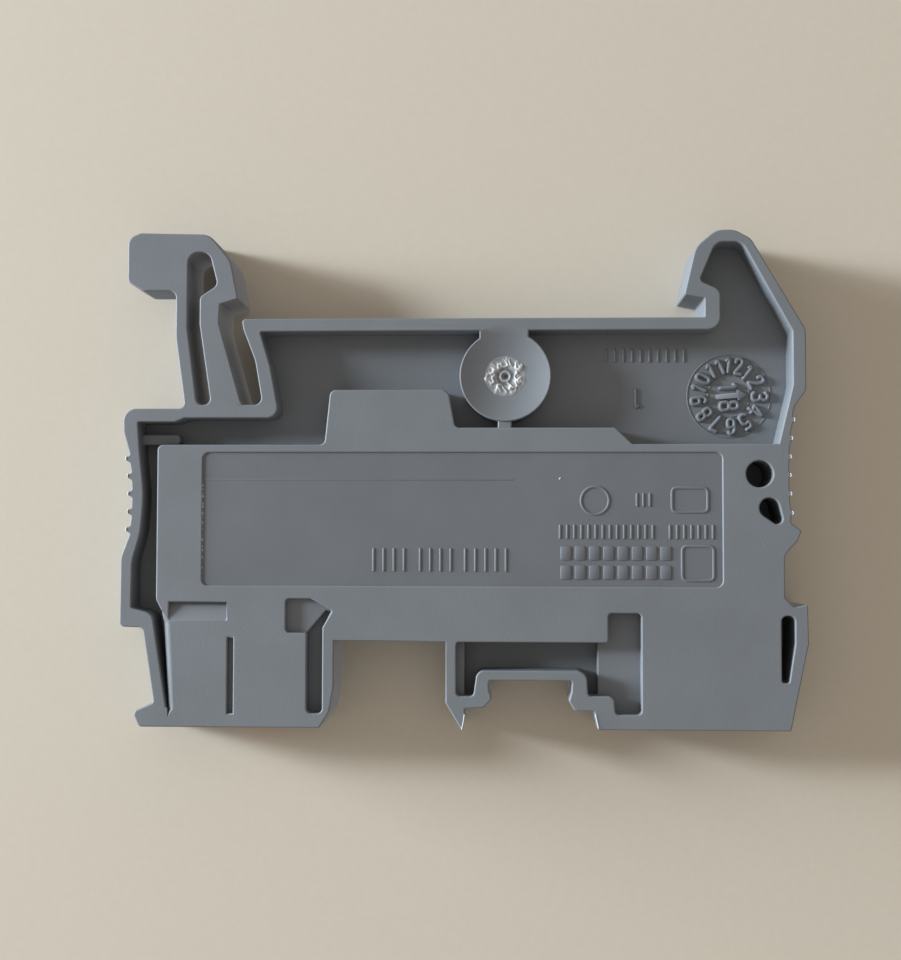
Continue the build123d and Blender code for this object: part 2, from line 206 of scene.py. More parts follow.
# Least cosine between two faces that share a corner normal: two flats, a rounded edge's face with a
# flat, and a rounded edge's face with another
alikeness = {"flats": 0.9, "roundedToFlat": 0.6, "rounded": 0.3}


def flatNormals(mesh):
    # corner normals: round a vertex, the area-weighted sum of the flat faces that lean the same way as the
    # corner's own face; where there is none, the sum of the rounded faces that lean alike. Flats stay flat
    # and the rounded edges run smoothly into them
    count = len(mesh.polygons)
    normals, area = np.empty(count * 3), np.empty(count)
    mesh.polygons.foreach_get("normal", normals)
    mesh.polygons.foreach_get("area", area)
    normals = normals.reshape(-1, 3)
    rounded, sizes = np.zeros(count, dtype=np.int32), np.empty(count, dtype=np.int32)
    mark = mesh.attributes.get("rounded")
    if mark:
        mark.data.foreach_get("value", rounded)
        mesh.attributes.remove(mark)
    mesh.polygons.foreach_get("loop_total", sizes)
    corners = np.empty(len(mesh.loops), dtype=np.int32)
    mesh.loops.foreach_get("vertex_index", corners)
    owner = np.repeat(np.arange(count), sizes)
    order = np.argsort(corners, kind="stable")
    around = np.bincount(corners, minlength=len(mesh.vertices))
    first = np.concatenate([[0], np.cumsum(around)])[:-1]
    pairs = around[corners]                                   # how many corners share this corner's vertex
    mine = np.repeat(np.arange(len(corners)), pairs)
    step = np.arange(len(mine)) - np.repeat(np.cumsum(pairs) - pairs, pairs)
    own, other = owner[mine], owner[order[np.repeat(first[corners], pairs) + step]]
    alike = np.einsum("ij,ij->i", normals[own], normals[other])
    least = np.where(rounded[own] > 0, alikeness["roundedToFlat"], alikeness["flats"])
    flat = (rounded[other] == 0) & (alike > least)
    soft = (rounded[other] > 0) & (alike > alikeness["rounded"])
    sums = []
    for use in (flat, soft):
        weight = area[other] * use
        parts = [np.bincount(mine, weight * normals[other, k], len(corners)) for k in range(3)]
        sums.append(np.stack(parts, axis=1))
    found = np.linalg.norm(sums[0], axis=1) > 1e-16
    total = np.where(found[:, None], sums[0], sums[1])
    size = np.linalg.norm(total, axis=1)
    total = np.where(size[:, None] > 1e-18, total / np.maximum(size, 1e-30)[:, None], normals[owner])
    mesh.normals_split_custom_set(total.tolist())


def gridFaces(rows, columns, wrapRows=False, wrapColumns=False):
    # quads of a grid of points, row by row; a wrapped way joins its last line to its first
    i = np.arange(rows if wrapRows else rows - 1)[:, None]
    j = np.arange(columns if wrapColumns else columns - 1)[None, :]
    nextRow = (i + 1) % rows
    nextColumn = (j + 1) % columns
    quads = [i * columns + j, nextRow * columns + j, nextRow * columns + nextColumn, i * columns + nextColumn]
    return np.stack([q + 0 * (i + j) for q in quads], axis=-1).reshape(-1, 4)


def outward(piece):
    # doubles merged and all faces turned outwards
    bm = bmesh.new()
    bm.from_mesh(piece.data)
    bmesh.ops.remove_doubles(bm, verts=bm.verts, dist=1e-8)
    bmesh.ops.recalc_face_normals(bm, faces=bm.faces)
    bm.to_mesh(piece.data)
    bm.free()


# Edge breaks of a moulding, about 0.1 mm on every edge of the housing and foot that turns by more than
# 28 degrees
softening = {"width": 0.11, "segments": 2, "turn": 28.0}

# Where the foot's legs meet their stumps: an arc about the hinge, and a flat under the wall
hinge = {"x": 17.6, "z": 8.6, "stumpRadius": 3.2, "footRadius": 3.24, "footTop": 6.11,
         "wallUnderside": 6.15, "between": (4.5, 6.3), "arcSlack": 0.004, "topSlack": 0.003}

# The wire cover's edge, which is rounded in the model itself
coverEdge = {"x": (20.15, 21.25), "z": (20.4, 28.8), "below": -1.9}


def softenedCopy(name, source, width, material, spared=None, cuts=()):
    # the source's triangles merged, every outer edge sharper than the limit rounded, and the piece cut across
    # at the given heights
    bm = bmesh.new()
    bm.from_mesh(nodes[source].data)
    mark = bm.faces.layers.int.new("rounded")
    bmesh.ops.remove_doubles(bm, verts=bm.verts, dist=1e-6)
    limit = math.radians(softening["turn"])
    rounded = [e for e in bm.edges if e.is_manifold and e.is_convex and e.calc_face_angle() > limit
               and not (spared and spared(e))]
    made = bmesh.ops.bevel(bm, geom=rounded, offset=width * mm, offset_type="OFFSET", profile=0.5,
                           segments=softening["segments"], affect="EDGES", clamp_overlap=False)
    for face in made["faces"]:
        face[mark] = 1
    for height in cuts:
        bmesh.ops.bisect_plane(bm, geom=bm.verts[:] + bm.edges[:] + bm.faces[:],
                               plane_co=(0, 0, height * mm), plane_no=(0, 0, 1), dist=1e-8)
    mesh = bpy.data.meshes.new(name)
    bm.to_mesh(mesh)
    bm.free()
    mesh.materials.clear()
    mesh.materials.append(material)
    mesh.polygons.foreach_set("use_smooth", np.full(len(mesh.polygons), True))
    mesh.polygons.foreach_set("material_index", np.zeros(len(mesh.polygons), dtype=np.int32))
    piece = bpy.data.objects.new(name, mesh)
    bpy.context.scene.collection.objects.link(piece)
    return piece


def onHingeArc(edge):
    # true for an edge on the arc or flat where the foot's legs meet their stumps
    def near(vert):
        x, z = vert.co.x / mm, vert.co.z / mm
        away = math.hypot(x - hinge["x"], z - hinge["z"])
        offArc = min(abs(away - hinge["stumpRadius"]), abs(away - hinge["footRadius"]))
        offTop = abs(z - hinge["footTop"])
        low, high = hinge["between"]
        return (offArc < hinge["arcSlack"] or offTop < hinge["topSlack"]) and low < z < high
    return all(near(v) for v in edge.verts)


def onCoverEdge(edge):
    # true for an edge inside the box round the wire cover's edge
    def inside(vert):
        x, y, z = vert.co / mm
        return (coverEdge["x"][0] < x < coverEdge["x"][1] and y < coverEdge["below"]
                and coverEdge["z"][0] < z < coverEdge["z"][1])
    return all(inside(v) for v in edge.verts)


def alreadyRound(edge):
    # true for the housing's edges that keep their shape
    return onHingeArc(edge) or onCoverEdge(edge)


housing = softenedCopy("housingMoulding", "housing", softening["width"], greyPolyamide,
                       spared=alreadyRound)
flatNormals(housing.data)
middles = np.empty(len(housing.data.polygons) * 3)
facing = np.empty(len(housing.data.polygons) * 3)
housing.data.polygons.foreach_get("center", middles)
housing.data.polygons.foreach_get("normal", facing)
# the field's floor faces, which take the grey painted darker as shade
inShadedField = (np.abs(middles[1::3] / mm - plateFloor) < 0.004) & (facing[1::3] < -0.99)    # faces of its floor
housing.data.materials.append(fieldPolyamideShaded)
housing.data.polygons.foreach_set("material_index", inShadedField.astype(np.int32))
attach(housing, "block")
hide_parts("housing")
print("housing softened:", len(housing.data.polygons), "faces")

# The foot bends over its two legs, from their root at the wall to the head; the piece is only cut across
# there, step by step
footBend = {"root": 6.0, "head": -0.5, "step": 0.3}
foot = softenedCopy("footMoulding", "rail_foot", softening["width"], greyPolyamide, spared=onHingeArc,
                    cuts=np.arange(footBend["head"], footBend["root"], footBend["step"]))
points = np.empty(len(foot.data.vertices) * 3)
foot.data.vertices.foreach_get("co", points)
points = points.reshape(-1, 3) / mm
fromHinge = points[:, [0, 2]] - (hinge["x"], hinge["z"])
distance = np.linalg.norm(fromHinge, axis=1)
atArc = np.abs(distance - hinge["footRadius"]) < hinge["arcSlack"]    # closes the gap to the stumps
points[atArc, 0] = hinge["x"] + fromHinge[atArc, 0] * hinge["stumpRadius"] / distance[atArc]
points[atArc, 2] = hinge["z"] + fromHinge[atArc, 1] * hinge["stumpRadius"] / distance[atArc]
atTop = np.abs(points[:, 2] - hinge["footTop"]) < hinge["topSlack"]
points[atTop, 2] = hinge["wallUnderside"]
foot.data.vertices.foreach_set("co", (points * mm).ravel())
foot.data.update()
flatNormals(foot.data)
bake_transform(foot)
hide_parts("rail_foot")
print("foot softened:", len(foot.data.polygons), "faces")

# The button's edges are softer than the bar's, which are sheared and tumbled
for pieceName, source, body, slotName, material, edge in (
        ("buttonMoulding", "release_button", "button", "orange_polyamide", orangePolyamide, 0.1),
        ("currentBarStrip", "current_bar", "block", "tinned_copper", tinPlate, 0.04)):
    piece = softenedCopy(pieceName, source, edge, material)
    flatNormals(piece.data)
    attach(piece, body)
    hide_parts(source)
print("button and bar finished")


# One strip: along the bar, up the fixed leg, over the bow and down the clamping leg
strip = {"thick": 0.4, "wide": 3.0, "middleY": 0.4, "bowX": 12.9, "bowZ": 17.5, "bowRadius": 1.4,
         "footBend": 0.5, "footEndX": 13.8, "footZ": 10.87, "legSlope": 40.7, "legLength": 7.55,
         "edge": 0.05, "tip": 0.2, "footPoints": 4, "bendPoints": 10, "risePoints": 8, "bowPoints": 36,
         "legPoints": 11}


def springPath():
    # straight foot, quarter bend, straight leg, bow as an arc of 130.7 degrees, sloping straight leg
    legX = strip["bowX"] - strip["bowRadius"]
    bend = strip["footBend"]
    footX = np.linspace(strip["footEndX"], legX + bend, strip["footPoints"] + 1)[:-1]
    foot = np.stack([footX, np.full(strip["footPoints"], strip["footZ"])], axis=1)
    turn = np.linspace(-math.pi / 2, -math.pi, strip["bendPoints"])
    corner = np.stack([legX + bend + bend * np.cos(turn),
                       strip["footZ"] + bend + bend * np.sin(turn)], axis=1)
    riseZ = np.linspace(strip["footZ"] + bend, strip["bowZ"], strip["risePoints"] + 2)[1:-1]
    rise = np.stack([np.full(strip["risePoints"], legX), riseZ], axis=1)
    slope = math.radians(strip["legSlope"])
    sweep = np.linspace(math.pi, math.pi / 2 - slope, strip["bowPoints"])
    bow = np.stack([strip["bowX"] + strip["bowRadius"] * np.cos(sweep),
                    strip["bowZ"] + strip["bowRadius"] * np.sin(sweep)], axis=1)
    share = np.linspace(0, 1, strip["legPoints"] + 1)[1:, None]
    down = share * strip["legLength"] * np.array([math.cos(slope), -math.sin(slope)])
    return np.concatenate([foot, corner, rise, bow, bow[-1] + down])


def carryStrip(path):
    # a rectangle with broken corners set square to the path at each of its points; ends closed
    half, thick, edge = strip["wide"] / 2, strip["thick"] / 2, strip["edge"]
    profile = np.array([(-half + edge, -thick), (half - edge, -thick), (half, -thick + edge),
                        (half, thick - edge), (half - edge, thick), (-half + edge, thick),
                        (-half, thick - edge), (-half, -thick + edge)])
    along = np.gradient(path, axis=0)
    along /= np.linalg.norm(along, axis=1)[:, None]
    normal = np.stack([-along[:, 1], along[:, 0]], axis=1)
    across = profile[None, :, 1] + np.zeros((len(path), 1))
    across[-1] = np.clip(across[-1], -thick, thick - strip["tip"])    # the bevelled edge that bites the wire
    x = path[:, 0:1] + normal[:, 0:1] * across
    z = path[:, 1:2] + normal[:, 1:2] * across
    y = strip["middleY"] + profile[None, :, 0] + np.zeros((len(path), 1))
    verts = np.stack([x, y, z], axis=-1).reshape(-1, 3)
    count = len(profile)
    ends = [np.arange(count)[None, :], (len(path) - 1) * count + np.arange(count)[None, ::-1]]
    return verts, [gridFaces(len(path), count, wrapColumns=True)] + ends


springVerts, springFaces = carryStrip(springPath())
spring = showPiece("clampingSpring", springVerts, springFaces, springSteel)
outward(spring)
flatNormals(spring.data)
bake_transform(spring)
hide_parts("spring_bow", "clamping_leg")
print("spring carried along its path:", len(spring.data.polygons), "faces")


def roundedPath(corners, closed=False, passes=3):
    # corner cutting: each pass puts points a quarter and three quarters of the way along every run
    path = np.asarray(corners, dtype=float)
    for _ in range(passes):
        following = np.roll(path, -1, axis=0) if closed else path[1:]
        start = path if closed else path[:-1]
        cut = np.stack([0.75 * start + 0.25 * following, 0.25 * start + 0.75 * following], axis=1)
        cut = cut.reshape(-1, 2)
        path = cut if closed else np.concatenate([path[:1], cut, path[-1:]])
    return path


def ridge(path, width, rise, floor, closed=False, lumps=1.0):
    # half-round bead on the plane y = floor, standing towards -Y: at each path point the section is
    # width / 2 * cos(a) across and rise * sin(a) up, times that point's lump, closed underneath; open ends
    # taper on a quarter circle
    path = np.asarray(path, dtype=float)
    if closed:
        along = np.roll(path, -1, axis=0) - np.roll(path, 1, axis=0)
        scale = np.ones(len(path)) * lumps
    else:
        along = np.gradient(path, axis=0)
        along /= np.linalg.norm(along, axis=1)[:, None]
        tuck = np.radians([88.0, 60.0, 30.0])    # round the quarter circle of an end
        head = path[:1] - along[:1] * width / 2 * np.sin(tuck)[:, None]
        tail = path[-1:] + along[-1:] * width / 2 * np.sin(tuck[::-1])[:, None]
        path = np.concatenate([head, path, tail])
        along = np.concatenate([np.repeat(along[:1], 3, axis=0), along, np.repeat(along[-1:], 3, axis=0)])
        scale = np.concatenate([np.cos(tuck), np.ones(len(path) - 6) * lumps, np.cos(tuck[::-1])])
    along = along / np.linalg.norm(along, axis=1)[:, None]
    normal = np.stack([-along[:, 1], along[:, 0]], axis=1)
    turn = np.radians([-12.0, 15.0, 42.0, 66.0, 90.0, 114.0, 138.0, 165.0, 192.0])    # round the section
    across = width / 2 * np.cos(turn)[None, :] * scale[:, None]
    up = rise * np.sin(turn)[None, :] * np.where(np.sin(turn) > 0, scale[:, None], 1.0)
    x = path[:, 0:1] + normal[:, 0:1] * across
    z = path[:, 1:2] + normal[:, 1:2] * across
    verts = np.stack([x, floor - up, z], axis=-1).reshape(-1, 3)
    count = len(turn)
    faces = [gridFaces(len(path), count, wrapRows=closed, wrapColumns=True)]
    if not closed:
        faces += [np.arange(count)[None, :], (len(path) - 1) * count + np.arange(count)[None, ::-1]]
    return verts, faces


def pad(corners, rise, floor, shoulder=0.05, sunk=0.03):
    # flat-topped pad on the plane y = floor: the outline sunk a little, at the shoulder's foot, three
    # tenths over the shoulder and, drawn in by the shoulder, at the top; both ends closed
    line = np.asarray(corners, dtype=float)
    along = np.roll(line, -1, axis=0) - np.roll(line, 1, axis=0)
    along /= np.linalg.norm(along, axis=1)[:, None]
    inward = np.stack([-along[:, 1], along[:, 0]], axis=1)
    area = np.sum(line[:, 0] * np.roll(line[:, 1], -1) - np.roll(line[:, 0], -1) * line[:, 1])
    inward *= np.sign(area)
    rings = [(0.0, -sunk), (0.0, rise - shoulder),
             (0.3 * shoulder, rise - 0.3 * shoulder), (shoulder, rise)]
    verts = np.concatenate([np.stack([line[:, 0] + inward[:, 0] * inset, np.full(len(line), floor - up),
                                      line[:, 1] + inward[:, 1] * inset], axis=1) for inset, up in rings])
    count = len(line)
    return verts, [gridFaces(len(rings), count, wrapColumns=True), np.arange(count)[None, :],
                   (len(rings) - 1) * count + np.arange(count)[None, ::-1]]


def roundedBox(x, z, width, height, corner=0.12):
    # outline of a rectangle about (x, z) with quarter-circle corners
    turn = np.radians(np.arange(0, 91, 30))
    quarter = np.stack([np.cos(turn), np.sin(turn)], axis=1) * corner
    parts = []
    for k, (sx, sz) in enumerate(((1, 1), (-1, 1), (-1, -1), (1, -1))):
        spin = k * math.pi / 2
        turned = np.stack([quarter[:, 0] * math.cos(spin) - quarter[:, 1] * math.sin(spin),
                           quarter[:, 0] * math.sin(spin) + quarter[:, 1] * math.cos(spin)], axis=1)
        parts.append(turned + (x + sx * (width / 2 - corner), z + sz * (height / 2 - corner)))
    return np.concatenate(parts)


def circle(x, z, radius, count=48):
    # points evenly round a circle about (x, z)
    turn = np.linspace(0, 2 * math.pi, count, endpoint=False)
    return np.stack([x + radius * np.cos(turn), z + radius * np.sin(turn)], axis=1)


def joined(name, shapes, material):
    # many small shapes as one piece riding on the block
    verts, faces, start = [], [], 0
    for shapeVerts, shapeFaces in shapes:
        verts.append(shapeVerts)
        faces += [part + start for part in shapeFaces]
        start += len(shapeVerts)
    piece = showPiece(name, np.concatenate(verts), faces, material)
    outward(piece)
    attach(piece, "block")
    return piece


# Numeral strokes in a box 0.5 wide and 1 high: (closed, corners)
numerals = {
    "0": [(True, [(0.05, 0.95), (0.45, 0.95), (0.52, 0.5), (0.45, 0.05), (0.05, 0.05), (-0.02, 0.5)])],
    "1": [(False, [(0.08, 0.8), (0.27, 1.0), (0.27, 0.0)])],
    "2": [(False, [(0.0, 0.76), (0.04, 1.0), (0.46, 1.03), (0.5, 0.66), (0.02, 0.06), (0.02, 0.0),
                   (0.5, 0.0)])],
    "3": [(False, [(0.0, 0.9), (0.2, 1.04), (0.55, 0.95), (0.5, 0.55), (0.2, 0.53)]),
          (False, [(0.2, 0.53), (0.55, 0.5), (0.58, 0.05), (0.2, -0.06), (0.0, 0.12)])],
    "4": [(False, [(0.38, 0.0), (0.38, 1.0), (0.36, 1.0), (0.0, 0.3), (0.0, 0.27), (0.54, 0.27)])],
    "5": [(False, [(0.48, 1.0), (0.06, 1.0), (0.03, 0.56), (0.3, 0.68), (0.56, 0.52), (0.54, 0.05),
                   (0.25, -0.05), (0.0, 0.08)])],
    "6": [(False, [(0.44, 0.9), (0.3, 1.04), (0.0, 0.9), (0.0, 0.3)]),
          (True, [(0.04, 0.02), (0.46, 0.02), (0.5, 0.3), (0.44, 0.56), (0.06, 0.56), (0.0, 0.3)])],
    "7": [(False, [(0.0, 0.98), (0.5, 0.98), (0.5, 0.94), (0.18, 0.0)])],
    "8": [(True, [(0.06, 1.0), (0.44, 1.0), (0.48, 0.76), (0.42, 0.53), (0.08, 0.53), (0.02, 0.76)]),
          (True, [(0.04, 0.5), (0.46, 0.5), (0.52, 0.25), (0.46, 0.0), (0.04, 0.0), (-0.02, 0.25)])],
    "9": [(False, [(0.06, 0.1), (0.2, -0.04), (0.5, 0.1), (0.5, 0.7)]),
          (True, [(0.06, 0.98), (0.46, 0.98), (0.5, 0.7), (0.44, 0.44), (0.04, 0.44), (0.0, 0.7)])],
}


def numeral(text, centre, clockAngle, outBy, height, width, stroke, rise, floor, gap=0.2):
    # digits whose tops point at clockAngle, seen from the closed side with the rail side up, so that
    # right is -X and up is -Z; outBy moves them out along that direction
    turn = math.radians(clockAngle)
    out = np.array([math.sin(turn), math.cos(turn)])
    right = np.array([math.cos(turn), -math.sin(turn)])
    advance = 0.5 * width + gap
    shapes = []
    for k, digit in enumerate(text):
        left = (k - (len(text) - 1) / 2) * advance - 0.25 * width
        for closed, corners in numerals[digit]:
            local = roundedPath(corners, closed, 2)
            seen = (left + local[:, 0:1] * width) * right + (outBy + (local[:, 1:2] - 0.5) * height) * out
            shapes.append(ridge(np.stack([centre[0] - seen[:, 0], centre[1] - seen[:, 1]], axis=1),
                                stroke, rise, floor, closed))
    return shapes


# Date dial: two witness rings of the mould's inserts, twelve months by the clock angle of each, and an
# arrow between two year digits
dial = {"centre": (-19.5, 5.36), "rings": [(2.98, 96), (1.5, 72)], "ringWidth": 0.11, "ringRise": 0.055,
        "months": {"12": 9.0, "1": 39.0, "2": 63.0, "3": 90.6, "4": 118.5, "5": 147.5, "6": 176.4,
                   "7": 205.0, "8": 233.0, "9": 261.3, "10": 294.7, "11": 335.4},
        "monthOut": 2.2, "monthHeight": 1.05, "monthWidth": 0.96, "monthGap": 0.24, "stroke": 0.34,
        "rise": 0.32, "years": {"1": 0.62, "8": -0.72}, "yearAngle": 86.0, "yearHeight": 1.25,
        "yearWidth": 1.1, "yearStroke": 0.36, "arrowTilt": 5.0, "arrowScale": 0.92, "arrowShoulder": 0.08,
        "arrow": [(-1.05, -0.19), (0.62, -0.19), (0.62, -0.42), (0.8, -0.42), (1.38, 0.0), (0.8, 0.42),
                  (0.62, 0.42), (0.62, 0.19), (-1.05, 0.19)]}
dialX, dialZ = dial["centre"]
dialShapes = [ridge(circle(dialX, dialZ, radius, count), dial["ringWidth"], dial["ringRise"], webFloor, True)
              for radius, count in dial["rings"]]
for month, clockAngle in dial["months"].items():
    dialShapes += numeral(month, dial["centre"], clockAngle, dial["monthOut"], dial["monthHeight"],
                          dial["monthWidth"], dial["stroke"], dial["rise"], webFloor, dial["monthGap"])
for digit, above in dial["years"].items():
    dialShapes += numeral(digit, (dialX, dialZ - above), dial["yearAngle"], 0.0, dial["yearHeight"],
                          dial["yearWidth"], dial["yearStroke"], dial["rise"], webFloor)
tilt = math.radians(dial["arrowTilt"])
arrow = np.array(dial["arrow"])
arrow = np.stack([arrow[:, 0] * math.cos(tilt) - arrow[:, 1] * math.sin(tilt),
                  arrow[:, 0] * math.sin(tilt) + arrow[:, 1] * math.cos(tilt)], axis=1)
dialShapes.append(pad(np.array(dial["centre"]) - arrow * dial["arrowScale"], dial["rise"], webFloor,
                      dial["arrowShoulder"]))
dateDial = joined("dateDial", dialShapes, greyPolyamide)
print("date dial:", len(dateDial.data.polygons), "faces")

# Cavity number, and plain dashes where a resin mark would stand
webMarks = {"cavity": (-12.85, 5.58), "numberHeight": 1.4, "numberWidth": 1.15, "numberStroke": 0.22,
            "numberRise": 0.17, "dashes": (-16.3, -10.2), "dashZ": 2.4, "dashPitch": 0.62,
            "dashHeight": 0.85, "dashStroke": 0.17, "dashRise": 0.1}


def bar(x, z, height, stroke, rise, floor):
    # a straight upright stroke about (x, z)
    return ridge([(x, z - height / 2), (x, z + height / 2)], stroke, rise, floor)


markShapes = numeral("1", webMarks["cavity"], 180.0, 0.0, webMarks["numberHeight"], webMarks["numberWidth"],
                     webMarks["numberStroke"], webMarks["numberRise"], webFloor)
for x in np.arange(*webMarks["dashes"], webMarks["dashPitch"]):
    markShapes.append(bar(x, webMarks["dashZ"], webMarks["dashHeight"], webMarks["dashStroke"],
                          webMarks["dashRise"], webFloor))
webMarkPiece = joined("webMarks", markShapes, greyPolyamide)

# Sunk field: bars (x from, x to, z, height, pitch), rows of blocks (x from, x to, z, height), blank frames
# (x, z, width, height), a ring (x, z, radius) and the joint line of the mould's insert
field = {"rise": 0.06, "stroke": 0.2,
         "bars": [(-3.5, -0.6, 17.15, 1.5, 0.72), (0.4, 2.9, 17.15, 1.5, 0.72), (3.7, 6.5, 17.15, 1.5, 0.72),
                  (-18.0, -14.6, 15.15, 0.85, 0.5), (-13.8, -7.2, 15.15, 0.85, 0.5),
                  (-13.6, -12.3, 12.9, 0.8, 0.45)],
         "blocks": [(-15.1, -7.2, 16.65, 1.0), (-15.1, -7.2, 18.0, 1.0)], "blockPitch": 1.0,
         "blockInset": 0.4, "blockWidth": 0.76, "blockCorner": 0.14, "blockShoulder": 0.04,
         "frames": [(-16.95, 17.35, 2.2, 2.4), (-16.4, 12.9, 2.5, 1.7)], "frameCorner": 0.3,
         "frameStroke": 0.22, "ring": (-9.75, 12.95, 0.98),
         "joint": [(18.0, 11.5), (-4.0, 11.5)], "jointStroke": 0.07, "jointRise": 0.02}
fieldShapes = []
for low, high, z, height, pitch in field["bars"]:
    for x in np.arange(low, high, pitch):
        fieldShapes.append(bar(x, z, height, field["stroke"], field["rise"], plateFloor))
for low, high, z, height in field["blocks"]:
    for x in np.arange(low + field["blockInset"], high, field["blockPitch"]):
        outline = roundedBox(x, z, field["blockWidth"], height, field["blockCorner"])
        fieldShapes.append(pad(outline, field["rise"], plateFloor, field["blockShoulder"]))
for x, z, wide, high in field["frames"]:
    outline = roundedBox(x, z, wide, high, field["frameCorner"])
    fieldShapes.append(ridge(outline, field["frameStroke"], field["rise"], plateFloor, True))
fieldShapes.append(ridge(circle(*field["ring"]), field["stroke"], field["rise"], plateFloor, True))
fieldShapes.append(ridge(field["joint"], field["jointStroke"], field["jointRise"], plateFloor))
# the field's marks take the same grey painted darker as shade
fieldPiece = joined("fieldMarks", fieldShapes, fieldPolyamideShaded)
print("marks:", len(webMarkPiece.data.polygons) + len(fieldPiece.data.polygons), "faces")

# Flash squeezed out at the mould's shut-off lines: thin and uneven; its much lighter grey is a painted
# highlight on these fine ridges
flashHighlightLook = dict(greyLook, colour="#b9bec2", mottle=0.1, mottleSize=0.5)
polyamideFlashPaintedHighlight = mouldedPolyamide("polyamideFlashPaintedHighlight", flashHighlightLook)


def waves(turn, counts, phases, weights):
    # a sum of sines, each weight * sin(count * turn + phase)
    return sum(w * np.sin(c * turn + p) for c, p, w in zip(counts, phases, weights))


# A beaded line down the end of the sunk field, barbs at the tips of both grips, wisps at the marker lips and
# one speck; lumps and wander are waves along the bead
flash = {"beadFrom": (18.1, 11.9), "beadTo": (18.13, 18.9), "beadWidth": 0.17, "beadRise": 0.075,
         "points": 170, "lumpMiddle": 0.5, "lumpRange": (0.08, 1.2),
         "lumps": ((71, 113, 173), (0.0, 1.9, 0.7), (0.32, 0.26, 0.2)),
         "wander": ((57, 131), (0.0, 0.4), (0.02, 0.015)),
         "width": 0.1, "rise": 0.05, "sunk": 0.02,
         "gripTips": [(23.62, 10.0), (23.49, 11.25), (23.44, 12.5), (23.46, 13.78), (23.56, 15.05)],
         "gripBarb": [(-0.06, -0.14), (0.0, 0.0), (-0.05, 0.12)],
         "plugTips": [(-23.6, 13.8), (-23.5, 12.45), (-23.48, 11.15), (-23.5, 9.85), (-23.6, 8.55),
                      (-23.76, 7.25)],
         "plugBarb": [(0.07, -0.1), (0.0, 0.0), (0.06, 0.1)],
         "wisps": [[(-0.4, 29.0), (-0.52, 28.5), (-0.58, 28.0)],
                   [(-9.97, 28.85), (-9.85, 28.3), (-9.76, 27.9)]],
         "speck": [(-7.33, 11.38), (-7.27, 11.42)], "speckWidth": 0.12, "speckRise": 0.03}
span = np.linspace(0, 1, flash["points"])
bead = np.array(flash["beadFrom"]) * (1 - span[:, None]) + np.array(flash["beadTo"]) * span[:, None]
bead[:, 0] += waves(span, *flash["wander"])
beadLumps = np.clip(flash["lumpMiddle"] + waves(span, *flash["lumps"]), *flash["lumpRange"])
flashShapes = [ridge(bead, flash["beadWidth"], flash["beadRise"], plateFloor, lumps=beadLumps)]
gripBarbs = [np.array(flash["gripBarb"]) + tip for tip in flash["gripTips"]]
plugBarbs = [np.array(flash["plugBarb"]) + tip for tip in flash["plugTips"]]
for path in gripBarbs + [roundedPath(corners) for corners in flash["wisps"] + plugBarbs]:
    flashShapes.append(ridge(path, flash["width"], flash["rise"], closedFace + flash["sunk"]))
flashShapes.append(ridge(flash["speck"], flash["speckWidth"], flash["speckRise"], plateFloor))
# all of the flash in the lighter grey of its painted highlight
flashPiece = joined("shutOffFlash", flashShapes, polyamideFlashPaintedHighlight)
print("flash:", len(flashPiece.data.polygons), "faces")

# Torn gate mark in the boss's dish: the white is how far each part of it is stress-whitened; the pit and the
# pin mark are painted darker as shade
gate = {"x": -3.44, "z": 4.1, "reach": 1.55, "rows": 64, "columns": 220,
        "dishFloor": -1.9, "dishRadius": 9.38, "lift": 0.02, "edge": 1.4, "edgeFall": 0.4,
        "crown": 0.93, "crownWidth": 0.27, "crownRise": 0.16,
        "crownWander": ((2, 3, 5, 9), (0.4, 2.0, 1.1, 0.3), (0.06, 0.05, 0.04, 0.03)),
        "widthWander": ((3, 7, 12), (1.2, 0.2, 2.2), (0.15, 0.12, 0.1)),
        "tears": 26, "seed": 11, "tearPitch": (4, 18), "tearMiddle": 1.15, "tearWidth": 1.2, "tearBase": 0.25,
        "wispOut": 0.3, "wispWidth": 0.22, "wispRise": 0.04, "wispCount": 7, "wispPhase": 0.6,
        "wispSharpness": 6, "ring": 0.34, "ringWidth": 0.07, "ringRise": 0.06,
        "pin": 0.09, "pinRise": 0.02, "shadedPit": 0.62,
        "white": {"base": 0.25, "torn": 0.75, "wisps": 0.4, "ring": 0.3, "pin": -0.9, "shadedPit": -0.12}}


def bell(offset, width):
    # bell curve, exp(-(offset / width) squared)
    return np.exp(-(offset / width) ** 2)


